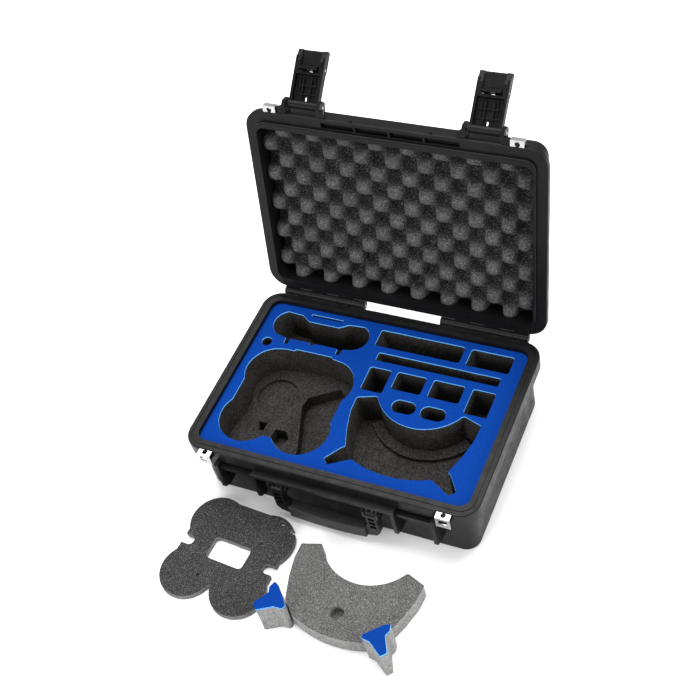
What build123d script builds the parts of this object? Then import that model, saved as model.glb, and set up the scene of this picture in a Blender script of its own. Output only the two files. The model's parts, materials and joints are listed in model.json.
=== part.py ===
"""Hard carrying case with a cut foam insert, shown with its lid open and two foam inserts taken out.

Row frame, mm: origin at the middle of the case's underside, +X to the right, +Y towards the hinges,
+Z up. The lid and the latches are drawn closed and then turned to where they rest.
"""
import os

from build123d import *

os.makedirs("parts", exist_ok=True)

# ---- Driving dimensions, mm ----------------------------------------------------------------------
FOAM_W, FOAM_D, FOAM_R = 430.0, 282.5, 16.0     # foam insert, seen from above
FOAM_TOP = 108.0                                # top of the blue sheet
SHEET_T = 2.5                                   # blue sheet
POCKET_FLOOR = 48.0                             # where the pockets end
FLOOR_T = 4.0                                   # tub floor
WALL = 3.7                                      # tub and lid walls
FIT = 0.3                                       # foam to wall
RIM_Z = 115.0                                   # top of the tub's rim
RIM_W, RIM_D, RIM_R = 463.0, 316.0, 30.0        # rim flange, seen from above
SKIRT_H, SKIRT_T, RIM_T = 22.0, 3.5, 4.0        # flange's hanging skirt and its top plate
PARTING = 0.3                                   # between the two closed rims
LID_Z = RIM_Z + PARTING                         # lid's rim when closed
LID_H = 50.0                                    # depth of the lid
LID_SKIRT_H = 9.0                               # the lid flange's skirt
HINGE_Y, HINGE_Z = 165.0, RIM_Z                 # hinge line
HINGE_R, HINGE_PIN_R, RUN_FIT = 6.5, 2.5, 0.05  # knuckles, pins and their running clearance
HINGE_IN, HINGE_OUT, KNUCKLES = 64.0, 205.0, 6  # where each hinge starts and ends, knuckles in it
LID_OPEN = 102.0                                # degrees from closed to the stop
LATCH_X = 138.0                                 # latch centres
LATCH_W = 47.0
LATCH_Y, LATCH_Z = -168.0, 130.0                # latch pivot, lid closed
LATCH_OPEN = 127.0                              # degrees from hooked to thrown back
TRIGGER_Y, TRIGGER_Z = -171.0, 77.0             # trigger pivot, latch hooked
HANDLE_Y, HANDLE_Z = -164.5, 74.0               # handle pivot
HANDLE_W, ARM_W = 168.0, 17.0
FRONT_Y = -169.2                                # front faces of the tub's ribs

TUB_W, TUB_D, TUB_R = FOAM_W + 2 * (FIT + WALL), FOAM_D + 2 * (FIT + WALL), 22.0
WELL_W, WELL_D, WELL_R = FOAM_W + 2 * FIT, FOAM_D + 2 * FIT, FOAM_R + FIT
SKIRT_Z = RIM_Z - SKIRT_H
LEFT_RIGHT = (-1, 1)


def turned(y, z, degrees):
    """Placement that turns a piece about an X-wise line through y, z."""
    return Location((0, y, z)) * Location((0, 0, 0), (degrees, 0, 0)) * Location((0, -y, -z))


LID_AT_REST = turned(HINGE_Y, HINGE_Z, -LID_OPEN)
LATCH_AT_REST = LID_AT_REST * turned(LATCH_Y, LATCH_Z, -LATCH_OPEN)


def save(piece, label, placement=None):
    """Turn a finished piece to where it rests, label it and write it."""
    if placement is not None:
        piece.part.move(placement)
    piece.part.label = label
    export_step(piece.part, f"parts/{label}.step")


def side_name(side):
    return "left" if side < 0 else "right"


def x_rod(radius, x0, x1, y, z, mode=Mode.ADD):
    """Round bar or hole along X from x0 to x1."""
    with BuildSketch(Plane(origin=(x0, y, z), x_dir=(0, 1, 0), z_dir=(1, 0, 0))) as section:
        Circle(radius)
    extrude(section.sketch, amount=x1 - x0, mode=mode)


def x_plate(points, x0, x1, mode=Mode.ADD):
    """Plate across X with an outline of (y, z) points."""
    with BuildSketch(Plane(origin=(x0, 0, 0), x_dir=(0, 1, 0), z_dir=(1, 0, 0))) as section:
        Polygon(*points, align=None)
    extrude(section.sketch, amount=x1 - x0, mode=mode)


def soften(radius):
    """Round every corner of the current sketch, inside and out."""
    offset(amount=radius)
    offset(amount=-2 * radius)
    offset(amount=radius)


def block(x0, x1, y0, y1, z0, z1, mode=Mode.ADD):
    """Box between two corners."""
    with Locations(((x0 + x1) / 2, (y0 + y1) / 2, (z0 + z1) / 2)):
        Box(x1 - x0, y1 - y0, z1 - z0, mode=mode)


# ---- Foam insert: outlines of the pockets, in the current sketch ---------------------------------
DRONE_X, DRONE_Y, LOBE_X, LOBE_Y, LOBE_R = -113.0, -35.3, 44.5, 44.7, 45.0
GOGGLE_X, GOGGLE_Y = 88.0, -141.2               # middle of the crescent, foam's front edge
PAD_Y = 85.0                                    # crescent's own centre, back from the front edge
RECT_POCKETS = [                                # x, y, width, depth, corner radius
    (46.7, 114.1, 138.0, 31.3, 4.0),
    (160.3, 113.3, 67.3, 31.6, 4.0),
    (88.4, 79.1, 196.7, 15.3, 3.0),
    (5.8, 36.0, 35.0, 44.0, 4.0),
    (56.6, 42.7, 46.7, 32.5, 4.0),
    (116.2, 42.7, 49.0, 32.5, 4.0),
    (171.2, 35.4, 35.6, 45.3, 4.0),
    (65.3, -0.6, 37.3, 22.7, 11.0),
    (111.6, -0.6, 38.7, 22.7, 11.0),
]
SLIT = (-116.8, 130.0, 55.0, 3.5)
PEN_HOLE = (-193.3, 62.0, 8.3)


def drone_outline(grow=0.0):
    """Four round lobes joined by a body, with a wedge between the front pair."""
    with Locations((DRONE_X, DRONE_Y)):
        with GridLocations(2 * LOBE_X, 2 * LOBE_Y, 2, 2):
            Circle(LOBE_R + grow)
        Rectangle(166 + 2 * grow, 96)
    with Locations((DRONE_X, DRONE_Y + 10)):
        Rectangle(2 * LOBE_X, 161.4)
    with Locations((DRONE_X + 4.5, DRONE_Y + 60)):
        Rectangle(63, 68.6)


def crescent_outline():
    """Goggle crescent without its strap notches, drawn about its own centre."""
    with BuildLine() as edge:
        inner = ThreePointArc((-67, 62), (0, 23.5), (67, 62))
        right = Polyline(inner @ 1, (70, 63.7), (98, 54.5), (97.5, 30), (90.5, -1), (79, -34), (58, -53))
        front = ThreePointArc(right @ 1, (0, -64), (-58, -53))
        Polyline(front @ 1, (-79, -34), (-90.5, -1), (-97.5, 30), (-98, 54.5), (-70, 63.7), inner @ 0)
    make_face(edge.edges())


def notch_outline(side):
    """Strap notch at one front corner of the crescent, drawn about the crescent's centre."""
    corners = [(79, -33), (84, -36), (102, -61), (93, -69.5), (66, -53.5), (56, -50)]
    Polygon(*[(side * x, y) for x, y in corners[:: -side]], align=None)


def controller_outline():
    """Game-pad shaped pocket with its cable notches."""
    with BuildLine() as edge:
        back = Polyline((-67, 127.8), (-41, 126), (-26, 116.4), (26, 116.4), (41, 126), (67, 127.8))
        end = ThreePointArc(back @ 1, (81.5, 101), (64, 80))
        front = Polyline(end @ 1, (48, 76.6), (-48, 76.6), (-64, 80))
        ThreePointArc(front @ 1, (-81.5, 101), back @ 0)
    make_face(edge.edges())
    for x, depth in ((-45, 11), (-2, 4), (45, 11)):
        with Locations((x, 76.6 - depth / 2 + 1)):
            Rectangle(7, depth + 2)


def foam_sketch():
    """Plan of the foam insert with every pocket taken out of it."""
    RectangleRounded(FOAM_W, FOAM_D, FOAM_R)
    with BuildSketch(mode=Mode.PRIVATE) as drone:
        drone_outline()
        soften(3)
    add(drone.sketch, mode=Mode.SUBTRACT)
    with BuildSketch(mode=Mode.PRIVATE) as crescent:
        crescent_outline()
        for side in LEFT_RIGHT:
            notch_outline(side)
        soften(2.5)
    with Locations((GOGGLE_X, GOGGLE_Y + PAD_Y)):
        add(crescent.sketch, mode=Mode.SUBTRACT)
    with BuildSketch(mode=Mode.PRIVATE) as controller:
        controller_outline()
        soften(2)
    with Locations((-117.5, 0)):
        add(controller.sketch, mode=Mode.SUBTRACT)
    for x, y, width, depth, radius in RECT_POCKETS:
        with Locations((x, y)):
            RectangleRounded(width, depth, radius, mode=Mode.SUBTRACT)
    with Locations(SLIT[:2]):
        Rectangle(*SLIT[2:], mode=Mode.SUBTRACT)
    with Locations(PEN_HOLE[:2]):
        Circle(PEN_HOLE[2], mode=Mode.SUBTRACT)


# ---- Tub ------------------------------------------------------------------------------------------
RIB_X = (110.5, 171.5)
RIB_T = 6.0
TAB_X, TAB_W, LID_TAB_W = 188.0, 21.0, 20.0
KEEPER_TOP, KEEPER_BOTTOM, KEEPER_Y = 87.0, 80.0, -163.5
LEDGE_TOP, LEDGE_BOTTOM = 96.0, 90.0
KNUCKLE_PITCH = (HINGE_OUT - HINGE_IN) / KNUCKLES
KNUCKLE_GAP = 0.4
PADLOCK_Y, PADLOCK_R = -161.5, 4.0
VALVE_Z, VALVE_STEM_R = 62.0, 6.0
SHEET_METAL = 1.6
SKIRT_RIBS = [-185, -132, -79, -26, 26, 79, 132, 185]


def knuckles(first, z_web0, z_web1):
    """Every second knuckle of both hinges, each with a web to the rim."""
    for side in LEFT_RIGHT:
        for index in range(first, KNUCKLES, 2):
            near = side * (HINGE_IN + index * KNUCKLE_PITCH)
            far = side * (HINGE_IN + (index + 1) * KNUCKLE_PITCH - KNUCKLE_GAP)
            x0, x1 = min(near, far), max(near, far)
            x_rod(HINGE_R, x0, x1, HINGE_Y, HINGE_Z)
            block(x0, x1, RIM_D / 2 - 3, HINGE_Y, z_web0, z_web1)


with BuildPart() as base_shell:
    with BuildSketch():
        RectangleRounded(TUB_W, TUB_D, TUB_R)
    extrude(amount=RIM_Z)
    fillet(base_shell.faces().sort_by(Axis.Z)[0].edges(), 5)
    with BuildSketch(Plane.XY.offset(SKIRT_Z)):
        RectangleRounded(RIM_W, RIM_D, RIM_R)
    extrude(amount=SKIRT_H)
    fillet(base_shell.faces().sort_by(Axis.Z)[-1].edges(), 1.6)
    # the flange is hollow underneath, with stiffening ribs
    with BuildSketch(Plane.XY.offset(SKIRT_Z)):
        RectangleRounded(RIM_W - 2 * SKIRT_T, RIM_D - 2 * SKIRT_T, RIM_R - SKIRT_T)
        RectangleRounded(TUB_W, TUB_D, TUB_R, mode=Mode.SUBTRACT)
    extrude(amount=SKIRT_H - RIM_T, mode=Mode.SUBTRACT)
    for x in SKIRT_RIBS:
        for y0, y1 in ((-RIM_D / 2 + 1, -TUB_D / 2 + 1), (TUB_D / 2 - 1, RIM_D / 2 - 1)):
            block(x - 1.25, x + 1.25, y0, y1, SKIRT_Z + 4, RIM_Z - 1)
    for y in (-106, -53, 0, 53, 106):
        for side in LEFT_RIGHT:
            x0, x1 = sorted((side * (TUB_W / 2 - 1), side * (RIM_W / 2 - 1)))
            block(x0, x1, y - 1.25, y + 1.25, SKIRT_Z + 4, RIM_Z - 1)
    # front ribs, ledge over the handle and keeper shelves for the latches
    for x in RIB_X:
        for side in LEFT_RIGHT:
            x_plate(
                [(-144, 34), (-158, 34), (FRONT_Y, 42), (FRONT_Y, LEDGE_TOP), (-156, LEDGE_TOP), (-144, 100)],
                side * x - RIB_T / 2,
                side * x + RIB_T / 2,
            )
    block(-RIB_X[0], RIB_X[0], FRONT_Y, -156, LEDGE_BOTTOM, LEDGE_TOP)
    for side in LEFT_RIGHT:
        x0, x1 = sorted((side * RIB_X[0], side * RIB_X[1]))
        block(x0, x1, KEEPER_Y, -144, KEEPER_BOTTOM, KEEPER_TOP)
        for edge in RIB_X:
            brace = edge + (5 if edge == RIB_X[0] else -5)
            block(side * brace - 1.5, side * brace + 1.5, -156, -144, KEEPER_TOP - 1, SKIRT_Z + 3)
        block(side * TAB_X - TAB_W / 2, side * TAB_X + TAB_W / 2, FRONT_Y + 3, -154, 104, RIM_Z - SHEET_METAL)
    # handle lugs with their comb of teeth under the ledge
    for side in LEFT_RIGHT:
        for x in (HANDLE_W / 2 - ARM_W - 2.2, HANDLE_W / 2 + 2.2):
            x_plate(
                [
                    (-144, 56),
                    (-158, 64),
                    (-171, 68),
                    (-171, 80),
                    (FRONT_Y, LEDGE_BOTTOM + 1),
                    (-144, LEDGE_BOTTOM + 1),
                ],
                side * x - 1.8,
                side * x + 1.8,
            )
        for x in (HANDLE_W / 2 - ARM_W + 4, HANDLE_W / 2 - 4):
            block(side * x - 1.6, side * x + 1.6, FRONT_Y, -150, 84, LEDGE_BOTTOM + 1)
        x_rod(3.0, side * 75.5 - 14, side * 75.5 + 14, HANDLE_Y, HANDLE_Z, Mode.SUBTRACT)
    # recessed plain name panel on the front band
    block(-106, -68, -159, -157.2, 101.5, 107.5, Mode.SUBTRACT)
    knuckles(0, HINGE_Z - HINGE_R, HINGE_Z - 0.2)
    x_rod(HINGE_PIN_R, -HINGE_OUT - 1, HINGE_OUT + 1, HINGE_Y, HINGE_Z, Mode.SUBTRACT)
    # foam well
    with BuildSketch(Plane.XY.offset(FLOOR_T)):
        RectangleRounded(WELL_W, WELL_D, WELL_R)
    extrude(amount=RIM_Z, mode=Mode.SUBTRACT)
    # bead line round the top of the rim
    with BuildSketch(Plane.XY.offset(RIM_Z - 1)):
        RectangleRounded(WELL_W + 20, WELL_D + 20, WELL_R + 6)
        RectangleRounded(WELL_W + 15, WELL_D + 15, WELL_R + 4, mode=Mode.SUBTRACT)
    extrude(amount=2, mode=Mode.SUBTRACT)
    # shallow panels in the underside leave a cross to stand on
    with BuildSketch():
        with GridLocations(212, 138, 2, 2):
            RectangleRounded(172, 98, 12)
    extrude(amount=1.5, mode=Mode.SUBTRACT)
    for side in LEFT_RIGHT:
        with Locations((side * TAB_X, PADLOCK_Y, 108)):
            Cylinder(PADLOCK_R + 1.5, 30, mode=Mode.SUBTRACT)
    with BuildSketch(Plane(origin=(0, -TUB_D / 2 - 1, VALVE_Z), x_dir=(1, 0, 0), z_dir=(0, 1, 0))):
        Circle(VALVE_STEM_R)
    extrude(amount=WALL + 2, mode=Mode.SUBTRACT)
save(base_shell, "base_shell")

for side in LEFT_RIGHT:
    with BuildPart() as plate:
        x0, x1 = side * TAB_X - TAB_W / 2, side * TAB_X + TAB_W / 2
        block(x0, x1, FRONT_Y + 3 - SHEET_METAL, -RIM_D / 2, RIM_Z - SHEET_METAL, RIM_Z)
        block(x0, x1, FRONT_Y + 3 - SHEET_METAL, FRONT_Y + 3, 93, RIM_Z)
        block(x0 + 4, x1 - 4, FRONT_Y, FRONT_Y + 4, 100.5, 110, Mode.SUBTRACT)
        with Locations((side * TAB_X, PADLOCK_Y, RIM_Z)):
            Cylinder(PADLOCK_R, 10, mode=Mode.SUBTRACT)
    save(plate, f"base_padlock_plate_{side_name(side)}")

    with BuildPart() as hinge_pin:
        x0, x1 = sorted((side * (HINGE_IN - 1), side * (HINGE_OUT + 1)))
        x_rod(HINGE_PIN_R, x0, x1, HINGE_Y, HINGE_Z)
    save(hinge_pin, f"hinge_pin_{side_name(side)}")

    with BuildPart() as handle_pin:
        x_rod(3.0, side * 75.5 - 12.5, side * 75.5 + 12.5, HANDLE_Y, HANDLE_Z)
    save(handle_pin, f"handle_pin_{side_name(side)}")

with BuildPart() as valve:
    with BuildSketch(Plane(origin=(0, -TUB_D / 2, VALVE_Z), x_dir=(1, 0, 0), z_dir=(0, -1, 0))):
        Circle(11)
    extrude(amount=4.5)
    fillet(valve.faces().sort_by(Axis.Y)[0].edges(), 1.2)
    with BuildSketch(Plane(origin=(0, -TUB_D / 2 - 4.5, VALVE_Z), x_dir=(1, 0, 0), z_dir=(0, 1, 0))):
        with PolarLocations(0, 6):
            with Locations((8, 0)):
                Circle(1.2)
        SlotOverall(12, 2)
    extrude(amount=1.2, mode=Mode.SUBTRACT)
    with BuildSketch(Plane(origin=(0, -TUB_D / 2, VALVE_Z), x_dir=(1, 0, 0), z_dir=(0, 1, 0))):
        Circle(VALVE_STEM_R)
    extrude(amount=WALL)
save(valve, "pressure_valve")

# ---- Foam insert ----------------------------------------------------------------------------------
with BuildPart() as foam_top_sheet:
    with BuildSketch(Plane.XY.offset(FOAM_TOP - SHEET_T)):
        foam_sketch()
        with Locations((0, -FOAM_D / 2 + 2)):
            Rectangle(16.6, 4, mode=Mode.SUBTRACT)
    extrude(amount=SHEET_T)
save(foam_top_sheet, "foam_top_sheet")

with BuildPart() as foam_core:
    with BuildSketch(Plane.XY.offset(POCKET_FLOOR)):
        foam_sketch()
    extrude(amount=FOAM_TOP - SHEET_T - POCKET_FLOOR)
save(foam_core, "foam_core")

CRADLE_T = 6.0
DEEP_POCKET = [
    (-108, 11),
    (-66, 40),
    (-40, 20),
    (-22, -30),
    (-22, -120),
    (-84, -120),
    (-84, -86),
    (-112, -7),
]
DEEP_T = 16.0
CUT_ONE = [(-166, -52), (-152, -51), (-152.5, -66), (-160, -66)]
CUT_TWO = [(-134, -59), (-116, -58), (-107, -70), (-113, -88), (-135, -76)]


def drone_recesses():
    """Pocket beside the cradle and the two cut-outs by the front wedge, in the current sketch."""
    for outline in (DEEP_POCKET, CUT_ONE, CUT_TWO):
        with BuildSketch(mode=Mode.PRIVATE) as cut:
            Polygon(*outline, align=None)
        with BuildSketch(mode=Mode.PRIVATE) as inside:
            drone_outline(-0.3)
            add(cut.sketch, mode=Mode.INTERSECT)
        add(inside.sketch)


with BuildPart() as foam_bottom:
    with BuildSketch(Plane.XY.offset(FLOOR_T + 0.1)):
        RectangleRounded(FOAM_W, FOAM_D, FOAM_R)
    extrude(amount=POCKET_FLOOR - FLOOR_T - 0.1)
    with BuildSketch(Plane.XY.offset(POCKET_FLOOR - DEEP_T)):
        drone_recesses()
    extrude(amount=DEEP_T + 1, mode=Mode.SUBTRACT)
save(foam_bottom, "foam_bottom")

with BuildPart() as drone_cradle:
    with BuildSketch(Plane.XY.offset(POCKET_FLOOR)):
        drone_outline(-0.3)
        soften(3)
    extrude(amount=CRADLE_T)
    with BuildSketch(Plane.XY.offset(POCKET_FLOOR - 1)):
        for outline in (DEEP_POCKET, CUT_ONE, CUT_TWO):
            Polygon(*outline, align=None)
        with Locations((-158, 1)):
            Circle(33)
    extrude(amount=CRADLE_T + 2, mode=Mode.SUBTRACT)
save(drone_cradle, "drone_cradle")

with BuildPart() as goggle_step:
    with BuildSketch(Plane.XY.offset(POCKET_FLOOR)):
        with BuildLine():
            near = ThreePointArc((-67, 61.5), (0, 23.2), (67, 61.5))
            far = ThreePointArc((80, 50), (0, 6), (-80, 50))
            Line(near @ 1, far @ 0)
            Line(far @ 1, near @ 0)
        make_face()
    extrude(amount=7)
goggle_step.part.move(Location((GOGGLE_X, GOGGLE_Y + PAD_Y, 0)))
save(goggle_step, "goggle_step")

# ---- Lid, drawn closed ----------------------------------------------------------------------------
LID_TOP = LID_Z + LID_H
LIP_BOTTOM = 109.5
LIP_W, LIP_D, LIP_R = WELL_W - 1.6, WELL_D - 1.6, WELL_R - 0.8
OPENING_W, OPENING_FRONT, OPENING_BACK = 424.0, -133.0, 138.0
GASKET_BOTTOM, GASKET_TOP = 110.8, 113.4
CHANNEL_FRONT, CHANNEL_BACK, CHANNEL_END = -152.5, -144.6, 106.0
CHANNEL_H = 6.5
EAR_GAP, EAR_T = 25.2, 5.5
FOAM_FACE = 123.0                               # tops of the lid foam's peaks, lid closed

with BuildPart() as lid_shell:
    with BuildSketch(Plane.XY.offset(LID_Z)):
        RectangleRounded(TUB_W, TUB_D, TUB_R)
    extrude(amount=LID_H)
    fillet(lid_shell.faces().sort_by(Axis.Z)[-1].edges(), 8)
    with BuildSketch(Plane.XY.offset(LID_Z)):
        RectangleRounded(RIM_W, RIM_D, RIM_R)
    extrude(amount=LID_SKIRT_H)
    with BuildSketch(Plane.XY.offset(LID_Z + RIM_T)):
        RectangleRounded(RIM_W - 2 * SKIRT_T, RIM_D - 2 * SKIRT_T, RIM_R - SKIRT_T)
        RectangleRounded(TUB_W, TUB_D, TUB_R, mode=Mode.SUBTRACT)
    extrude(amount=LID_SKIRT_H, mode=Mode.SUBTRACT)
    fillet(lid_shell.faces().sort_by(Axis.Z)[0].edges(), 1.6)
    for x in SKIRT_RIBS:
        for y0, y1 in ((-RIM_D / 2 + 1, -TUB_D / 2 + 1), (TUB_D / 2 - 1, RIM_D / 2 - 1)):
            block(x - 1.25, x + 1.25, y0, y1, LID_Z + 1, LID_Z + LID_SKIRT_H - 1)
    for y in (-106, -53, 0, 53, 106):
        for side in LEFT_RIGHT:
            x0, x1 = sorted((side * (TUB_W / 2 - 1), side * (RIM_W / 2 - 1)))
            block(x0, x1, y - 1.25, y + 1.25, LID_Z + 1, LID_Z + LID_SKIRT_H - 1)
    # front bar with its ribbed channel, between the latches
    block(-CHANNEL_END - 2, CHANNEL_END + 2, -RIM_D / 2 + 1.5, -TUB_D / 2 + 1, LID_Z, LID_Z + LID_SKIRT_H)
    block(-CHANNEL_END, CHANNEL_END, CHANNEL_FRONT, CHANNEL_BACK, LID_Z - 1, LID_Z + CHANNEL_H, Mode.SUBTRACT)
    for x in (-53, 0, 53):
        block(x - 1.3, x + 1.3, CHANNEL_FRONT - 0.5, CHANNEL_BACK + 0.5, LID_Z, LID_Z + CHANNEL_H + 0.5)
    # latch ears
    for side in LEFT_RIGHT:
        for ear in LEFT_RIGHT:
            x0, x1 = sorted((side * LATCH_X + ear * EAR_GAP, side * LATCH_X + ear * (EAR_GAP + EAR_T)))
            x_plate(
                [
                    (-144, LID_Z + 1),
                    (-170, LID_Z + 3),
                    (-176.5, LATCH_Z - 7),
                    (-176.5, LATCH_Z + 4),
                    (-171, LATCH_Z + 9),
                    (-144, LATCH_Z + 3),
                ],
                x0,
                x1,
            )
            with BuildSketch(Plane.XZ.offset(RIM_D / 2 - 1)):
                with BuildLine():
                    outer = side * LATCH_X + ear * (EAR_GAP + EAR_T - 0.5)
                    Polyline(
                        (outer, LID_Z + 2),
                        (outer + ear * 7, LID_Z + 2),
                        (outer + ear * 4, LID_Z + 9),
                        (outer, LID_Z + 9),
                        close=True,
                    )
                make_face()
            extrude(amount=11)
        x_rod(HINGE_PIN_R + 0.02, side * LATCH_X - 32, side * LATCH_X + 32, LATCH_Y, LATCH_Z, Mode.SUBTRACT)
        x0, x1 = side * TAB_X - LID_TAB_W / 2, side * TAB_X + LID_TAB_W / 2
        block(x0, x1, FRONT_Y + 3, -154, LID_Z + SHEET_METAL, LID_Z + 9)
        with Locations((side * TAB_X, PADLOCK_Y, LID_Z + 5)):
            Cylinder(PADLOCK_R + 1.5, 30, mode=Mode.SUBTRACT)
        with BuildSketch(Plane.XZ.offset(RIM_D / 2 - 1)):
            with Locations((side * 61, LID_Z + 4)):
                Circle(3)
        extrude(amount=4)
    knuckles(1, LID_Z, HINGE_Z + HINGE_R)
    x_rod(HINGE_PIN_R + RUN_FIT, -HINGE_OUT - 1, HINGE_OUT + 1, HINGE_Y, HINGE_Z, Mode.SUBTRACT)
    # raised bands over the top
    with BuildSketch(Plane.XY.offset(LID_TOP)):
        RectangleRounded(350, 210, 20)
        RectangleRounded(334, 194, 14, mode=Mode.SUBTRACT)
        RectangleRounded(180, 90, 12)
        RectangleRounded(168, 78, 8, mode=Mode.SUBTRACT)
    extrude(amount=2)
    # lip that enters the tub over the foam, then the hollow of the lid
    with BuildSketch(Plane.XY.offset(LIP_BOTTOM)):
        RectangleRounded(LIP_W, LIP_D, LIP_R)
    extrude(amount=LID_Z - LIP_BOTTOM + 1)
    with BuildSketch(Plane.XY.offset(GASKET_BOTTOM)):
        RectangleRounded(LIP_W + 1, LIP_D + 1, LIP_R)
        RectangleRounded(LIP_W - 2.4, LIP_D - 2.4, LIP_R - 1.2, mode=Mode.SUBTRACT)
    extrude(amount=GASKET_TOP - GASKET_BOTTOM, mode=Mode.SUBTRACT)
    with BuildSketch(Plane.XY.offset(LIP_BOTTOM - 1)):
        with Locations((0, (OPENING_FRONT + OPENING_BACK) / 2)):
            RectangleRounded(OPENING_W, OPENING_BACK - OPENING_FRONT, 12)
    extrude(amount=FOAM_FACE - LIP_BOTTOM, mode=Mode.SUBTRACT)
    with BuildSketch(Plane.XY.offset(FOAM_FACE - 3)):
        RectangleRounded(WELL_W, WELL_D, WELL_R)
    extrude(amount=LID_TOP - WALL - FOAM_FACE + 3, mode=Mode.SUBTRACT)
save(lid_shell, "lid_shell", LID_AT_REST)

with BuildPart() as lid_gasket:
    with BuildSketch(Plane.XY.offset(GASKET_BOTTOM)):
        RectangleRounded(LIP_W + 1, LIP_D + 1, LIP_R + 0.5)
        RectangleRounded(LIP_W - 2.4, LIP_D - 2.4, LIP_R - 1.2, mode=Mode.SUBTRACT)
    extrude(amount=GASKET_TOP - GASKET_BOTTOM)
save(lid_gasket, "lid_gasket", LID_AT_REST)

with BuildPart() as lid_foam:
    with BuildSketch(Plane.XY.offset(FOAM_FACE)):
        RectangleRounded(FOAM_W, FOAM_D, FOAM_R)
    extrude(amount=LID_TOP - WALL - 0.1 - FOAM_FACE)
save(lid_foam, "lid_egg_crate_foam", LID_AT_REST)

LATCH_CHEEK = [(-177, 52), (-177, 80), (-175, 84), (-165, 84), (-165, 66), (-170, 50), (-175, 50)]
TRIGGER_FACE = [(-176, 50.5), (-176, 76), (-174, 78), (-170, 76), (-171, 52), (-172, 50.5)]
TRIGGER_HOOK = [(-171, 79), (-160.5, 79), (-160.5, 75.5), (-165, 73.6), (-171, 73.6)]

for side in LEFT_RIGHT:
    name = side_name(side)
    cx = side * LATCH_X

    with BuildPart() as lid_plate:
        x0, x1 = side * TAB_X - LID_TAB_W / 2, side * TAB_X + LID_TAB_W / 2
        block(x0, x1, FRONT_Y + 3, -RIM_D / 2, LID_Z, LID_Z + SHEET_METAL)
        block(x0, x1, FRONT_Y + 3 - SHEET_METAL, FRONT_Y + 3, LID_Z, LID_Z + 9)
        with Locations((side * TAB_X, PADLOCK_Y, LID_Z)):
            Cylinder(PADLOCK_R, 10, mode=Mode.SUBTRACT)
    save(lid_plate, f"lid_padlock_plate_{name}", LID_AT_REST)

    with BuildPart() as latch_pin:
        x_rod(HINGE_PIN_R, cx - 31, cx + 31, LATCH_Y, LATCH_Z)
    save(latch_pin, f"latch_pin_{name}", LID_AT_REST)

    with BuildPart() as latch_body:
        x_rod(6, cx - LATCH_W / 2, cx + LATCH_W / 2, LATCH_Y, LATCH_Z)
        block(cx - LATCH_W / 2, cx + LATCH_W / 2, -175, -171, 82, LATCH_Z)
        block(cx - LATCH_W / 2, cx + LATCH_W / 2, -171.5, -165, 82, 86)
        for edge in LEFT_RIGHT:
            x0, x1 = sorted((cx + edge * (LATCH_W / 2 - 4), cx + edge * LATCH_W / 2))
            block(x0, x1, -175, -165, 60, LATCH_Z - 4)
            x0, x1 = sorted((cx + edge * 15.8, cx + edge * LATCH_W / 2))
            x_plate(LATCH_CHEEK, x0, x1)
            x0, x1 = sorted((cx + edge * 5, cx + edge * 7.6))
            block(x0, x1, -171.5, -167.5, 92, LATCH_Z - 12)
        block(cx - 15, cx + 15, -171.5, -168.5, 100, 102.5)
        block(cx - 5, cx + 5, -176, -162, LATCH_Z - 12, LATCH_Z - 6.5, Mode.SUBTRACT)
        x_rod(HINGE_PIN_R + RUN_FIT, cx - LATCH_W, cx + LATCH_W, LATCH_Y, LATCH_Z, Mode.SUBTRACT)
        x_rod(1.6, cx - LATCH_W, cx + LATCH_W, TRIGGER_Y, TRIGGER_Z, Mode.SUBTRACT)
    save(latch_body, f"latch_body_{name}", LATCH_AT_REST)

    with BuildPart() as trigger:
        x_rod(3.4, cx - 15.2, cx + 15.2, TRIGGER_Y, TRIGGER_Z)
        x_plate(TRIGGER_FACE, cx - 15.2, cx + 15.2)
        x_plate(TRIGGER_HOOK, cx - 14, cx + 14)
        x_rod(5.0, cx - 4.6, cx + 4.6, TRIGGER_Y, TRIGGER_Z, Mode.SUBTRACT)
        x_rod(1.6 + RUN_FIT, cx - 20, cx + 20, TRIGGER_Y, TRIGGER_Z, Mode.SUBTRACT)
    save(trigger, f"trigger_{name}", LATCH_AT_REST)

    with BuildPart() as trigger_pin:
        x_rod(1.6, cx - LATCH_W / 2, cx + LATCH_W / 2, TRIGGER_Y, TRIGGER_Z)
    save(trigger_pin, f"trigger_pin_{name}", LATCH_AT_REST)

    with BuildPart() as trigger_spring:
        for turn in range(5):
            with Locations(Location((cx - 3 + 1.5 * turn, TRIGGER_Y, TRIGGER_Z), (0, 90, 0))):
                Torus(3.0, 0.8)
    save(trigger_spring, f"trigger_spring_{name}", LATCH_AT_REST)

# ---- Handle, hanging ------------------------------------------------------------------------------
BOW_LOW, BOW_SIDE = 12.0, 28.0
HALF = HANDLE_W / 2


def handle_outline():
    """U of the handle in the XZ plane: two arms and a grip that bows down."""
    with BuildLine() as edge:
        bow = ThreePointArc((-HALF + 6, BOW_SIDE - 5), (0, BOW_LOW), (HALF - 6, BOW_SIDE - 5))
        Polyline(
            bow @ 1,
            (HALF, BOW_SIDE + 3),
            (HALF, HANDLE_Z),
            (HALF - ARM_W, HANDLE_Z),
            (HALF - ARM_W, 50),
            (HALF - ARM_W - 8, 39),
        )
        ThreePointArc((HALF - ARM_W - 8, 39), (0, 33), (-HALF + ARM_W + 8, 39))
        Polyline(
            (-HALF + ARM_W + 8, 39),
            (-HALF + ARM_W, 50),
            (-HALF + ARM_W, HANDLE_Z),
            (-HALF, HANDLE_Z),
            (-HALF, BOW_SIDE + 3),
            bow @ 0,
        )
    make_face(edge.edges())


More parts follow.
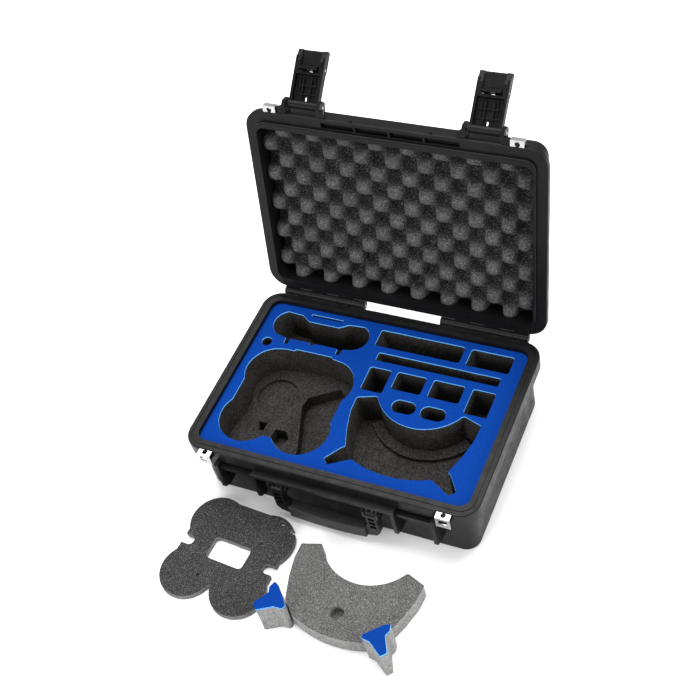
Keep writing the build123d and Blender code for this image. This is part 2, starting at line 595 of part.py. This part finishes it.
with BuildPart() as handle_frame:
    with BuildSketch(Plane.XZ.offset(159.5)):
        handle_outline()
    extrude(amount=11.5)
    for side in LEFT_RIGHT:
        x0, x1 = side * 75.5 - ARM_W / 2, side * 75.5 + ARM_W / 2
        x_rod(6, x0, x1, HANDLE_Y, HANDLE_Z)
        # ladder of recesses down the front of each arm
        for z in (44, 54, 64):
            block(x0 + 3.5, x1 - 3.5, -172, -167, z - 3.5, z + 3.5, Mode.SUBTRACT)
        x_rod(3.0 + RUN_FIT, x0 - 1, x1 + 1, HANDLE_Y, HANDLE_Z, Mode.SUBTRACT)
save(handle_frame, "handle_frame")

with BuildPart() as handle_grip:
    with BuildSketch(Plane.XZ.offset(157.8)):
        with BuildLine():
            low = ThreePointArc((-62, 16.6), (0, 11.4), (62, 16.6))
            high = ThreePointArc((62, 40), (0, 35), (-62, 40))
            Line(low @ 1, high @ 0)
            Line(high @ 1, low @ 0)
        make_face()
    extrude(amount=17)
    fillet(handle_grip.edges().filter_by(Axis.Y, reverse=True), 1.5)
    with BuildSketch(Plane.XZ.offset(159.5)):
        handle_outline()
    extrude(amount=11.5, mode=Mode.SUBTRACT)
save(handle_grip, "handle_grip")

# ---- Loose foam inserts on the floor --------------------------------------------------------------
DRONE_PAD_AT = Location((-130.0, -261.0, 0), (0, 0, -4))
DRONE_PAD_T = 10.0
GOGGLE_PAD_AT = Location((73.0, -277.0, 0), (0, 0, -3))
PAD_LAYER = 14.0
POST_H, CAP_T = 60.0, 3.0

with BuildPart() as drone_pad:
    with BuildSketch() as outline:
        with GridLocations(88, 88, 2, 2):
            Circle(43)
        Rectangle(158, 96)
        with Locations((0, 18)):
            Rectangle(88, 132)
        soften(3)
        for side in LEFT_RIGHT:
            with Locations((side * 78, 2)):
                SlotOverall(34, 15, mode=Mode.SUBTRACT)
        with Locations((0, -76)):
            Rectangle(7, 22, mode=Mode.SUBTRACT)
        for x in (18, 52, 76):
            with Locations((x, 88 - 0.3 * abs(x - 18))):
                Rectangle(9, 6, mode=Mode.SUBTRACT)
        with Locations((0, 4)):
            RectangleRounded(62, 36, 6, mode=Mode.SUBTRACT)
        for x, y in ((38, 36), (-26, -44)):
            with Locations((x, y)):
                Circle(3.2, mode=Mode.SUBTRACT)
    extrude(amount=DRONE_PAD_T)
save(drone_pad, "drone_pad", DRONE_PAD_AT)


def goggle_layer(z, hole):
    """One layer of the crescent pad."""
    with BuildSketch(Plane.XY.offset(z)) as layer:
        crescent_outline()
        soften(2.5)
        if hole:
            with Locations((0, -26)):
                Circle(10.5, mode=Mode.SUBTRACT)
    extrude(layer.sketch, amount=PAD_LAYER - 0.05)


with BuildPart() as goggle_lower:
    goggle_layer(0, False)
with BuildPart() as goggle_upper:
    goggle_layer(PAD_LAYER, True)
save(goggle_lower, "goggle_pad_lower_layer", GOGGLE_PAD_AT)
save(goggle_upper, "goggle_pad_upper_layer", GOGGLE_PAD_AT)


def post_outline(side):
    """Boot-shaped plan of a corner post: a long toe outwards and two short arms against the crescent."""
    corners = [
        (81.5, -32.5),
        (90, -28),
        (93, -38),
        (90, -46),
        (103, -68),
        (96, -76),
        (74, -62),
        (62, -61),
        (59.8, -56),
    ]
    Polygon(*[(side * x, y) for x, y in corners[:: -side]], align=None)


for label, z, height in (
    ("goggle_pad_posts", 0.0, POST_H - CAP_T),
    ("goggle_pad_blue_caps", POST_H - CAP_T, CAP_T),
):
    with BuildPart() as posts:
        for side in LEFT_RIGHT:
            with BuildSketch(Plane.XY.offset(z)) as post:
                post_outline(side)
                soften(2)
            extrude(amount=height)
    save(posts, label, GOGGLE_PAD_AT)
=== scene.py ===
"""Looks of the hard carrying case: foam pieces, moulded plastic, steel, rubber, camera and studio."""
import json
import math

import bmesh
import bpy
import numpy as np
from mathutils import Matrix, Vector, noise
from mathutils.geometry import delaunay_2d_cdt


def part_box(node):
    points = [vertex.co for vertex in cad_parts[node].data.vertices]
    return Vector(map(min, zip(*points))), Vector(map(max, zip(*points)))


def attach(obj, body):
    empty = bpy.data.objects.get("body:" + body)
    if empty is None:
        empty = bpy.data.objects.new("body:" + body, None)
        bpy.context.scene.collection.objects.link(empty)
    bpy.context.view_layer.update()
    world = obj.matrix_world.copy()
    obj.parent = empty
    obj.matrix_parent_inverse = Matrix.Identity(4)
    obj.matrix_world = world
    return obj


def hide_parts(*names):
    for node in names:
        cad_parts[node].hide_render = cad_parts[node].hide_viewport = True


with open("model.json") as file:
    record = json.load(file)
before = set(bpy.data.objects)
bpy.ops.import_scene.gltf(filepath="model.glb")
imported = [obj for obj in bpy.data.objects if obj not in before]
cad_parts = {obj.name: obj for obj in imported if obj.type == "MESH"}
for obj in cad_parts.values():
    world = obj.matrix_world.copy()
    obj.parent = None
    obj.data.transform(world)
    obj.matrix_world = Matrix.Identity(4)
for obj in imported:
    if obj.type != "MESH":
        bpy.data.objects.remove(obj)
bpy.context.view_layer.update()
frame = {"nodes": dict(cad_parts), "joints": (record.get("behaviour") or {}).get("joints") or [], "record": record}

MM = 0.001
NODES = frame["nodes"]


# ---- Small helpers --------------------------------------------------------------------------------
def mesh_object(name, points, faces, smooth=False):
    """New object from points in metres and faces as lists of indices."""
    mesh = bpy.data.meshes.new(name)
    mesh.from_pydata([tuple(p) for p in points], [], faces)
    mesh.validate()
    mesh.update()
    for polygon in mesh.polygons:
        polygon.use_smooth = smooth
    obj = bpy.data.objects.new(name, mesh)
    bpy.context.scene.collection.objects.link(obj)
    return obj


def dress(obj, material):
    obj.data.materials.clear()
    obj.data.materials.append(material)


def body_of(node):
    for body, nodes in frame["record"]["behaviour"]["bodies"].items():
        if node in nodes:
            return body
    raise KeyError(node)


def joint(name):
    return next(j for j in frame["joints"] if j["name"] == name)


def grey(value):
    return (value, value, value)


# ---- Materials ------------------------------------------------------------------------------------
BLACK, WHITE = grey(0.0), grey(1.0)


class Nodes:
    """A material's node tree with short calls for what the materials below share."""

    def __init__(self, name, roughness, metallic=0.0, specular=0.5):
        self.material = bpy.data.materials.new(name)
        self.material.use_nodes = True
        self.tree = self.material.node_tree
        self.shader = self.tree.nodes["Principled BSDF"]
        self.shader.inputs["Roughness"].default_value = roughness
        self.shader.inputs["Metallic"].default_value = metallic
        self.shader.inputs["Specular IOR Level"].default_value = specular
        self.place = self.tree.nodes.new("ShaderNodeTexCoord").outputs["Object"]

    def link(self, a, b):
        self.tree.links.new(a, b)

    def stretched(self, scale):
        node = self.tree.nodes.new("ShaderNodeMapping")
        node.inputs["Scale"].default_value = scale
        self.link(self.place, node.inputs["Vector"])
        return node.outputs["Vector"]

    def noise(self, scale, detail=2.0, rough=0.5, place=None):
        node = self.tree.nodes.new("ShaderNodeTexNoise")
        node.inputs["Scale"].default_value = scale
        node.inputs["Detail"].default_value = detail
        node.inputs["Roughness"].default_value = rough
        self.link(place or self.place, node.inputs["Vector"])
        return node.outputs["Fac"]

    def cells(self, scale):
        """Distance from the middles of small cells: 0 at each middle."""
        node = self.tree.nodes.new("ShaderNodeTexVoronoi")
        node.inputs["Scale"].default_value = scale
        self.link(self.place, node.inputs["Vector"])
        return node.outputs["Distance"]

    def ramp(self, value, stops):
        node = self.tree.nodes.new("ShaderNodeValToRGB")
        ramp = node.color_ramp
        while len(ramp.elements) < len(stops):
            ramp.elements.new(0.5)
        for element, (position, color) in zip(ramp.elements, stops):
            element.position = position
            element.color = (*color, 1.0)
        self.link(value, node.inputs["Fac"])
        return node.outputs["Color"]

    def mix(self, factor, a, b, blend="MIX"):
        """Mix of two colours, each an output or an RGB value."""
        node = self.tree.nodes.new("ShaderNodeMix")
        node.data_type = "RGBA"
        node.blend_type = blend
        for index, value in ((0, factor), (6, a), (7, b)):
            socket = node.inputs[index]
            if hasattr(value, "is_linked"):
                self.link(value, socket)
            else:
                socket.default_value = value if index == 0 else (*value, 1.0)
        return node.outputs[2]

    def color(self, output):
        self.link(output, self.shader.inputs["Base Color"])

    def bump(self, heights):
        """Stack of (height output, strength, distance in metres)."""
        normal = None
        for height, strength, distance in heights:
            node = self.tree.nodes.new("ShaderNodeBump")
            node.inputs["Strength"].default_value = strength
            node.inputs["Distance"].default_value = distance
            self.link(height, node.inputs["Height"])
            if normal is not None:
                self.link(normal, node.inputs["Normal"])
            normal = node.outputs["Normal"]
        self.link(normal, self.shader.inputs["Normal"])

    def upward(self):
        """The upward part of a surface's own normal: 1 where it faces straight up."""
        geometry = self.tree.nodes.new("ShaderNodeNewGeometry")
        split = self.tree.nodes.new("ShaderNodeSeparateXYZ")
        self.link(geometry.outputs["True Normal"], split.inputs[0])
        return split.outputs["Z"]

    def attribute(self, name):
        node = self.tree.nodes.new("ShaderNodeAttribute")
        node.attribute_name = name
        return node.outputs["Fac"]


def plastic(name, dark, light, roughness, specular):
    """Moulded plastic with a fine texture and uneven gloss."""
    n = Nodes(name, roughness, specular=specular)
    blotch = n.noise(9.0, detail=4.0, rough=0.6)
    n.color(n.ramp(blotch, [(0.3, dark), (0.7, light)]))
    scuffs = n.noise(60.0, detail=5.0, rough=0.65)
    gloss = n.ramp(scuffs, [(0.35, grey(roughness - 0.08)), (0.7, grey(roughness + 0.1))])
    n.link(gloss, n.shader.inputs["Roughness"])
    n.bump([(n.noise(900.0), 0.35, 0.2 * MM), (n.cells(540.0), 0.25, 0.15 * MM)])
    return n.material


def foam(name, dark, mid, speck, cell=620.0, grit=0.5, top=None, shade=None):
    """Foam with fine pores, pale specks and a mottled shade.

    cell is the number of pores in a metre, and grit the strength of the grain. top darkens what
    faces up: partly the darker skin on top, partly painted shade where less light falls from above
    than from the front. shade names a mesh attribute, 0 to 1, that lays painted shade on the foam
    where it is low and painted light where it is high.
    """
    n = Nodes(name, 0.92, specular=0.1)
    base = n.ramp(n.noise(34.0, detail=5.0, rough=0.7), [(0.3, dark), (0.72, mid)])
    grain = n.noise(cell * 0.55, rough=0.8)
    grain = n.ramp(grain, [(0.38, grey(1 - grit)), (0.62, grey(1 + grit))])
    base = n.mix(1.0, base, grain, "MULTIPLY")
    # Painted shade on what faces up, partly also the foam's darker skin there.
    if top is not None:
        up = n.ramp(n.upward(), [(0.6, WHITE), (0.9, grey(top))])
        base = n.mix(1.0, base, up, "MULTIPLY")
    # Painted light and shade from the shade attribute: lighter where it is high, darker where it is low.
    if shade is not None:
        lit = n.ramp(n.attribute(shade), [(0.0, grey(0.5)), (0.55, grey(0.9)), (0.9, grey(1.9))])
        base = n.mix(1.0, base, lit, "MULTIPLY")
    specks = n.ramp(n.cells(cell), [(0.0, WHITE), (0.2, BLACK)])
    coarse = n.ramp(n.noise(cell * 0.9, detail=3.0, rough=0.7), [(0.52, BLACK), (0.72, WHITE)])
    n.color(n.mix(n.mix(0.6, specks, coarse, "ADD"), base, speck))
    n.bump([(n.cells(cell), 0.55, 0.6 * MM), (n.noise(190.0, detail=4.0, rough=0.7), 0.4, 0.7 * MM)])
    return n.material


def skinned_foam(name, dark, light, edge):
    """Coloured foam sheet: smooth saturated skin above, pale where it is cut."""
    n = Nodes(name, 0.8, specular=0.06)
    skin = n.ramp(n.noise(420.0, detail=3.0, rough=0.6), [(0.3, dark), (0.7, light)])
    patches = n.ramp(n.noise(16.0, detail=3.0), [(0.3, BLACK), (0.8, WHITE)])
    shade = n.mix(patches, skin, dark)
    up = n.ramp(n.upward(), [(0.55, BLACK), (0.9, WHITE)])
    n.color(n.mix(up, edge, n.mix(0.25, skin, shade)))
    n.bump([(n.cells(900.0), 0.3, 0.3 * MM), (n.noise(300.0, detail=3.0), 0.2, 0.3 * MM)])
    return n.material


def steel(name, dark, light, roughness):
    """Sheet or pin steel with a brushed grain."""
    n = Nodes(name, roughness, metallic=1.0)
    grain = n.noise(40.0, detail=3.0, rough=0.6, place=n.stretched((1.0, 60.0, 60.0)))
    n.color(n.ramp(grain, [(0.3, dark), (0.7, light)]))
    n.bump([(grain, 0.12, 0.1 * MM)])
    return n.material


def rubber(name, dark, light):
    n = Nodes(name, 0.62, specular=0.4)
    n.color(n.ramp(n.noise(120.0, detail=4.0, rough=0.6), [(0.3, dark), (0.7, light)]))
    n.bump([(n.cells(700.0), 0.35, 0.3 * MM)])
    return n.material


def floor_paint(name):
    n = Nodes(name, 0.7)
    n.color(n.ramp(n.noise(2.0), [(0.0, grey(0.90)), (1.0, grey(0.93))]))
    return n.material


BLACK_PLASTIC = plastic(
    "moulded_plastic", (0.0035, 0.0035, 0.0037), (0.0065, 0.0065, 0.0068), roughness=0.38, specular=0.12
)
# A darker, less glossy copy of the black plastic for the latches: painted shade against the sheen the overhead
# light puts on them.
SHADED_LATCH_PLASTIC = plastic(
    "shaded_latch_plastic", (0.003, 0.003, 0.0032), (0.006, 0.006, 0.0062), roughness=0.40, specular=0.10
)
BLACK_FOAM = foam("black_cut_foam", (0.0125, 0.0115, 0.0105), (0.028, 0.026, 0.024), (0.11, 0.105, 0.10))
# shade="rise" puts painted light on the egg crate's peaks and painted shade in its valleys.
LID_FOAM = foam(
    "egg_crate_foam", grey(0.020), grey(0.034), grey(0.24), cell=520.0, grit=0.35, shade="rise"
)
# top darkens what faces up: partly the darker skin, partly painted shade.
PAD_FOAM = foam("dark_pad_foam", grey(0.10), grey(0.15), grey(0.20), cell=700.0, grit=0.3, top=0.17)
GREY_FOAM = foam(
    "grey_pad_foam", (0.16, 0.16, 0.158), (0.23, 0.23, 0.225), (0.34, 0.34, 0.33),
    cell=560.0, grit=0.3, top=0.33,
)
BLUE_FOAM = skinned_foam("blue_foam_skin", (0.0, 0.024, 0.17), (0.0, 0.033, 0.215), (0.13, 0.42, 0.85))
STAINLESS = steel("stainless_sheet", grey(0.34), (0.56, 0.56, 0.57), 0.34)
PIN_STEEL = steel("pin_steel", (0.25, 0.25, 0.26), (0.40, 0.40, 0.41), 0.38)
RUBBER = rubber("gasket_rubber", grey(0.008), grey(0.016))

# ---- Cut foam pieces, rebuilt from the outlines of their solids -----------------------------------
LEVEL = 0.02 * MM          # how far from a height a point may be and still count as level with it
CUT_STEP = 2.5 * MM        # longest step along a cut outline
SHORTEST = 0.22            # of a step: points nearer than this are merged
WAVER = 0.16 * MM          # unevenness of a cut wall
CUT_EDGE = 0.5 * MM        # rounding of a cut edge
EDGE_TURN = 0.3            # of the rounding: where its upper ring is
TALL_WALL = 15 * MM        # taller walls get more rings
MERGE = 1e-7               # metres, for the triangulation


def level_edges(node, height):
    """Edges of a solid's level faces at that height, as pairs of (x, y), and how often each is used."""
    mesh = NODES[node].data
    spots = {}
    for vertex in mesh.vertices:
        if abs(vertex.co.z - height) < LEVEL:
            spots[vertex.index] = (round(vertex.co.x, 6), round(vertex.co.y, 6))
    uses = {}
    for polygon in mesh.polygons:
        if abs(polygon.normal.z) > 0.99 and all(i in spots for i in polygon.vertices):
            for a, b in polygon.edge_keys:
                pair = tuple(sorted((spots[a], spots[b])))
                uses[pair] = uses.get(pair, 0) + 1
    return uses


def outline_loops(node, height):
    """Closed outlines of a solid's level face at that height: lists of (x, y), in metres."""
    neighbours = {}
    for (a, b), uses in level_edges(node, height).items():
        if uses == 1 and a != b:
            neighbours.setdefault(a, []).append(b)
            neighbours.setdefault(b, []).append(a)
    left = set(neighbours)
    loops = []
    for start in sorted(neighbours):
        loop = []
        ahead = [start] if start in left else []
        while ahead:
            here = ahead[0]
            left.discard(here)
            loop.append(Vector(here))
            ahead = [spot for spot in neighbours[here] if spot in left]
        if len(loop) > 2:
            loops.append(loop)
    return loops


def area_of(loop):
    """Area inside an outline, positive where it runs anticlockwise."""
    total = 0.0
    for a, b in zip(loop, loop[1:] + loop[:1]):
        total += a.x * b.y - b.x * a.y
    return total / 2


def spaced(loop, step):
    """The same outline with points at most a step apart, and none too close together."""
    points = []
    for a, b in zip(loop, loop[1:] + loop[:1]):
        parts = max(1, math.ceil((b - a).length / step))
        points += [a.lerp(b, k / parts) for k in range(parts)]
    kept = [points[0]]
    for p in points[1:]:
        if (p - kept[-1]).length > step * SHORTEST:
            kept.append(p)
    if (kept[-1] - kept[0]).length < step * SHORTEST:
        kept.pop()
    return kept


def outward(loop):
    """Unit normals that point out of the material, which is on the left along the outline."""
    normals = []
    for i in range(len(loop)):
        along = (loop[(i + 1) % len(loop)] - loop[i - 1]).normalized()
        normals.append(Vector((along.y, -along.x)))
    return normals


def waver(p, z):
    """Unevenness of a cut wall at a point: a fine part and a broad one."""
    fine = noise.noise(Vector((p.x * 260, p.y * 260, z * 60)))
    broad = noise.noise(Vector((p.x * 45, p.y * 45, z * 8)))
    return fine * WAVER + broad * WAVER


def wall_levels(low, high):
    """Heights of a cut wall's rings, each with how far the rounded edge moves it outwards."""
    tall = high - low
    parts = 5 if tall > TALL_WALL else 2
    levels = [(low, -CUT_EDGE), (low + CUT_EDGE, 0.0)]
    levels += [(low + tall * k / parts, 0.0) for k in range(1, parts)]
    levels += [(high - CUT_EDGE, 0.0)]
    levels += [(high - EDGE_TURN * CUT_EDGE, -EDGE_TURN * CUT_EDGE), (high, -CUT_EDGE)]
    return levels


def in_material(flat, edges, triangles, origins):
    """Whether each triangle's middle is inside the outlines: an odd number of crossings."""
    a = np.array([flat[i] for i, _ in edges])
    b = np.array([flat[j] for _, j in edges])
    answers = []
    for triangle in triangles:
        if any(not origins[i] for i in triangle):
            answers.append(False)
            continue
        x, y = np.mean([flat[origins[i][0]] for i in triangle], axis=0)
        spans = (a[:, 1] > y) != (b[:, 1] > y)
        p, q = a[spans], b[spans]
        crossing = p[:, 0] + (y - p[:, 1]) / (q[:, 1] - p[:, 1]) * (q[:, 0] - p[:, 0])
        answers.append(int((crossing > x).sum()) % 2 == 1)
    return answers


def level_faces(points, rings, facing_up):
    """Triangles that close a block between its rings, leaving the holes open."""
    flat, edges, back = [], [], []
    for ring in rings:
        first = len(flat)
        flat += [Vector(points[i][:2]) for i in ring]
        back += ring
        edges += [(first + i, first + (i + 1) % len(ring)) for i in range(len(ring))]
    _, _, triangles, origins, _, _ = delaunay_2d_cdt(flat, edges, [], 1, MERGE)
    faces = []
    for triangle, solid in zip(triangles, in_material(flat, edges, triangles, origins)):
        if solid:
            corners = [back[origins[i][0]] for i in triangle]
            faces.append(corners if facing_up else corners[::-1])
    return faces


def cut_foam(name, loops, low, high, material):
    """Foam block cut to outlines: its walls waver a little and its cut edges are slightly rounded."""
    loops = [spaced(loop, CUT_STEP) for loop in loops]
    outer = max(loops, key=lambda loop: abs(area_of(loop)))
    levels = wall_levels(low, high)
    points, faces, bottom, top = [], [], [], []
    for loop in loops:
        if (loop is outer) != (area_of(loop) > 0):
            loop = loop[::-1]
        normals = outward(loop)
        rings = []
        for z, push in levels:
            rings.append(list(range(len(points), len(points) + len(loop))))
            for p, normal in zip(loop, normals):
                q = p + normal * (push - WAVER + waver(p, z))
                points.append((q.x, q.y, z))
        for below, above in zip(rings, rings[1:]):
            for i in range(len(loop)):
                ahead = (i + 1) % len(loop)
                faces.append((below[i], below[ahead], above[ahead], above[i]))
        bottom.append(rings[0])
        top.append(rings[-1])
    faces += level_faces(points, bottom, facing_up=False)
    faces += level_faces(points, top, facing_up=True)
    obj = mesh_object(name, points, faces)
    dress(obj, material)
    return obj


def take_place(piece, node):
    """The piece stands for this node, as a firm foam pad on its body."""
    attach(piece, body_of(node))
    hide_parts(node)


def joined(name, pieces):
    """One object out of several, with the first one's material."""
    points, faces = [], []
    for piece in pieces:
        start = len(points)
        points += [v.co.copy() for v in piece.data.vertices]
        faces += [[i + start for i in p.vertices] for p in piece.data.polygons]
    whole = mesh_object(name, points, faces)
    dress(whole, pieces[0].data.materials[0])
    for piece in pieces:
        bpy.data.objects.remove(piece)
    return whole


def heights(node):
    low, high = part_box(node)
    return low[2], high[2]


def simple_foam(node, name, material):
    """A foam piece with upright walls, cut to the outline of its node's top."""
    low, high = heights(node)
    piece = cut_foam(name, outline_loops(node, high), low, high, material)
    take_place(piece, node)


def bottom_block():
    """The foam under the pockets: a slab below and a cut layer above it."""
    low, high = heights("foam_bottom")
    shelf = min(v.co.z for v in NODES["foam_bottom"].data.vertices if v.co.z > low + 2 * MM)
    upper = cut_foam("upper", outline_loops("foam_bottom", high), shelf, high, BLACK_FOAM)
    lower = cut_foam("lower", outline_loops("foam_bottom", low), low, shelf, BLACK_FOAM)
    take_place(joined("foam_bottom_block", [upper, lower]), "foam_bottom")


simple_foam("foam_top_sheet", "blue_top_sheet", BLUE_FOAM)
simple_foam("foam_core", "foam_core_with_pockets", BLACK_FOAM)
simple_foam("drone_cradle", "drone_cradle_foam", BLACK_FOAM)
simple_foam("goggle_step", "goggle_step_foam", BLACK_FOAM)
bottom_block()

# ---- Egg-crate foam in the lid --------------------------------------------------------------------
PITCH_X, PITCH_Y = 50 * MM, 52 * MM            # of the two waves whose product makes the peaks
SHIFT_X, SHIFT_Y = 6 * MM, -9 * MM             # of the pattern
PEAK_DEPTH, VALLEY_DEPTH = 0.5 * MM, 29 * MM   # from the foam's face into the lid
BLUNTNESS = 0.5                                # a power under 1 makes blunt peaks and steep slopes
GRID = 2.0 * MM
CRATE_CORNER = 16 * MM


def crate_rise(x, y):
    """Height of the egg crate at a point: 0 in a valley, 1 on a peak."""
    wave = math.cos(2 * math.pi * (x + SHIFT_X) / PITCH_X)
    wave *= math.cos(2 * math.pi * (y + SHIFT_Y) / PITCH_Y)
    rise = 0.5 + 0.5 * math.copysign(abs(wave) ** BLUNTNESS, wave)
    rise += 0.035 * noise.noise(Vector((x * 60, y * 60, 3.0)))
    return min(1.0, max(0.0, rise))


def inside_corner(x, y, x0, x1, y0, y1):
    """The point, drawn in where the sheet's corner is rounded."""
    dx = max(0, CRATE_CORNER - (x - x0), CRATE_CORNER - (x1 - x))
    dy = max(0, CRATE_CORNER - (y - y0), CRATE_CORNER - (y1 - y))
    reach = math.hypot(dx, dy)
    if reach > CRATE_CORNER and dx > 0 and dy > 0:
        pull = CRATE_CORNER / reach
        x += (dx - dx * pull) * (1 if x < (x0 + x1) / 2 else -1)
        y += (dy - dy * pull) * (1 if y < (y0 + y1) / 2 else -1)
    return x, y


def egg_crate():
    """Foam sheet with staggered peaks, shaped with the lid closed and turned open with it."""
    hinge = joint("lid_hinge")
    origin = Vector(hinge["pos_m"])
    opened = Matrix.Rotation(-math.radians(hinge["range_deg"][1]), 4, "X")
    closed = opened.inverted()
    solid = [closed @ (v.co - origin) + origin for v in NODES["lid_egg_crate_foam"].data.vertices]
    x0, x1 = min(p.x for p in solid), max(p.x for p in solid)
    y0, y1 = min(p.y for p in solid), max(p.y for p in solid)
    z0, z1 = min(p.z for p in solid), max(p.z for p in solid)
    peak, valley = z0 + PEAK_DEPTH, z0 + VALLEY_DEPTH
    nx, ny = round((x1 - x0) / GRID), round((y1 - y0) / GRID)
    wide = nx + 1

    points, faces, rises = [], [], []
    for j in range(ny + 1):
        for i in range(nx + 1):
            x, y = x0 + (x1 - x0) * i / nx, y0 + (y1 - y0) * j / ny
            rise = crate_rise(x, y)
            rises.append(rise)
            z = valley + (peak - valley) * rise
            z += noise.noise(Vector((x * 420, y * 420, 9.0))) * 0.35 * MM
            x, y = inside_corner(x, y, x0, x1, y0, y1)
            points.append(Vector((x, y, max(z, z0))))
    for j in range(ny):
        for i in range(nx):
            a = j * wide + i
            faces.append((a, a + wide, a + wide + 1, a + 1))

    edge = list(range(wide))
    edge += [j * wide + nx for j in range(1, ny + 1)]
    edge += [ny * wide + i for i in range(nx - 1, -1, -1)]
    edge += [j * wide for j in range(ny - 1, 0, -1)]
    start = len(points)
    count = len(edge)
    points += [Vector((points[i].x, points[i].y, z1)) for i in edge]
    # The sheet's sides get rise 0, the darkest painted shade.
    rises += [0.0] * count
    for k in range(count):
        ahead = (k + 1) % count
        faces.append((edge[k], edge[ahead], start + ahead, start + k))
    faces.append([start + k for k in range(count)])

    placed = [opened @ (p - origin) + origin for p in points]
    obj = mesh_object("egg_crate_lining", placed, faces, smooth=True)
    dress(obj, LID_FOAM)
    # rise carries the painted light on the peaks and the painted shade in the valleys of the lid foam.
    obj.data.attributes.new("rise", "FLOAT", "POINT").data.foreach_set("value", rises)
    take_place(obj, "lid_egg_crate_foam")


egg_crate()

# ---- Loose inserts --------------------------------------------------------------------------------
simple_foam("drone_pad", "drone_insert_pad", PAD_FOAM)
simple_foam("goggle_pad_lower_layer", "goggle_insert_lower", GREY_FOAM)
simple_foam("goggle_pad_upper_layer", "goggle_insert_upper", GREY_FOAM)
simple_foam("goggle_pad_posts", "goggle_insert_posts", GREY_FOAM)
simple_foam("goggle_pad_blue_caps", "goggle_insert_caps", BLUE_FOAM)

# ---- Moulded details on the latches, mm from the latch's pivot, as the hooked latch hangs ---------
RIB_T, RIB_DEEP, RIB_Y = 1.8, 2.4, -2.0
UPRIGHT_RIBS = [((x, RIB_Y, -27.0), (RIB_T, RIB_DEEP, 28.0)) for x in (-17.0, -11.5, 11.5, 17.0)]
CROSS_RIBS = [((0.0, RIB_Y, z), (38.0, RIB_DEEP, RIB_T)) for z in (-16.0, -41.5)]
GAP_WEBS = [((x, -6.45, -49.3), (12.0, 1.1, 3.4)) for x in (-8.5, 8.5)]
WINDOW_WEBS = [((x, -5.0, -9.25), (4.0, 2.0, 5.7)) for x in (-3.2, 3.2)]


def rounded_box(size, radius):
    """Points and faces of a box with rounded edges, about its own middle."""
    bm = bmesh.new()
    bmesh.ops.create_cube(bm, size=1.0)
    bmesh.ops.scale(bm, vec=size, verts=bm.verts)
    bmesh.ops.bevel(bm, geom=list(bm.edges), offset=radius, segments=3, affect="EDGES", profile=0.5)
    points = [v.co.copy() for v in bm.verts]
    faces = [[v.index for v in f.verts] for f in bm.faces]
    bm.free()
    return points, faces


def latch_piece(name, side, boxes, radius):
    """One moulded piece of rounded boxes, given as (centre, size), that rides on a latch."""
    swing = joint(f"latch_{side}_swing")
    thrown = joint("lid_hinge")["range_deg"][1] + swing["range_deg"][1]
    place = Matrix.Translation(swing["pos_m"]) @ Matrix.Rotation(-math.radians(thrown), 4, "X")
    points, faces = [], []
    for centre, size in boxes:
        box_points, box_faces = rounded_box(Vector(size) * MM, radius * MM)
        start = len(points)
        points += [place @ (p + Vector(centre) * MM) for p in box_points]
        faces += [[i + start for i in face] for face in box_faces]
    obj = mesh_object(f"{name}_{side}", points, faces)
    dress(obj, SHADED_LATCH_PLASTIC)
    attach(obj, f"latch_{side}")


for side in ("left", "right"):
    latch_piece("latch_ribs", side, UPRIGHT_RIBS + CROSS_RIBS, radius=0.5)
    latch_piece("latch_webs", side, GAP_WEBS + WINDOW_WEBS, radius=0.4)

# ---- Moulded, metal and rubber nodes, which keep their CAD shape ----------------------------------
SLOT_MATERIALS = {
    "black_plastic": BLACK_PLASTIC,
    "stainless": STAINLESS,
    "pin_steel": PIN_STEEL,
    "gasket_rubber": RUBBER,
    "grip_rubber": RUBBER,
}
for part in frame["record"]["subparts"]:
    material = SLOT_MATERIALS.get(part["material_slot"])
    # Latches and triggers take the darker copy of the plastic: painted shade.
    if material is BLACK_PLASTIC and part["node"].startswith(("latch_body", "trigger")):
        material = SHADED_LATCH_PLASTIC
    if material is not None:
        dress(NODES[part["node"]], material)

# ---- Studio and camera ----------------------------------------------------------------------------
FLOOR_HALF = 6.0
WORLD_STRENGTH = 0.45
LIGHTS = (      # name, place and size in metres, watts
    ("overhead", (-0.2, 0.9, 2.9), 3.0, 190.0),
    ("front", (-1.2, -2.8, 1.5), 1.8, 75.0),
    ("right", (2.8, -0.5, 1.2), 1.4, 60.0),
)
LIT_POINT = Vector((0, 0, 0.15))
CAMERA_PLACE = (0.6513, -0.9252, 1.5240)
CAMERA_SIDE, CAMERA_DOWN, CAMERA_ROLL = 35.148, 49.057, -15.673   # degrees
LENS, SENSOR = 62.52, 36.0


def studio():
    """Pale floor, even white surroundings and three soft lights."""
    scene = bpy.context.scene
    half = FLOOR_HALF
    corners = [(-half, -half, 0), (half, -half, 0), (half, half, 0), (-half, half, 0)]
    floor = mesh_object("floor", corners, [(0, 1, 2, 3)])
    dress(floor, floor_paint("pale_floor"))
    world = bpy.data.worlds.new("studio")
    scene.world = world
    world.use_nodes = True
    background = world.node_tree.nodes["Background"]
    background.inputs["Color"].default_value = (1.0, 1.0, 1.0, 1.0)
    background.inputs["Strength"].default_value = WORLD_STRENGTH
    for name, place, size, power in LIGHTS:
        light = bpy.data.lights.new(name, "AREA")
        light.size = size
        light.energy = power
        lamp = bpy.data.objects.new(name, light)
        scene.collection.objects.link(lamp)
        lamp.location = place
        aim = LIT_POINT - Vector(place)
        lamp.rotation_euler = aim.to_track_quat("-Z", "Y").to_euler()
    scene.view_settings.view_transform = "Standard"


def camera():
    """Camera to the right of the front, looking down and rolled a little."""
    data = bpy.data.cameras.new("camera")
    data.sensor_width = SENSOR
    data.lens = LENS
    obj = bpy.data.objects.new("camera", data)
    bpy.context.scene.collection.objects.link(obj)
    turn = Matrix.Rotation(math.radians(CAMERA_SIDE), 4, "Z")
    turn = turn @ Matrix.Rotation(math.radians(90 - CAMERA_DOWN), 4, "X")
    turn = turn @ Matrix.Rotation(math.radians(CAMERA_ROLL), 4, "Z")
    obj.matrix_world = Matrix.Translation(CAMERA_PLACE) @ turn
    bpy.context.scene.camera = obj


studio()
camera()
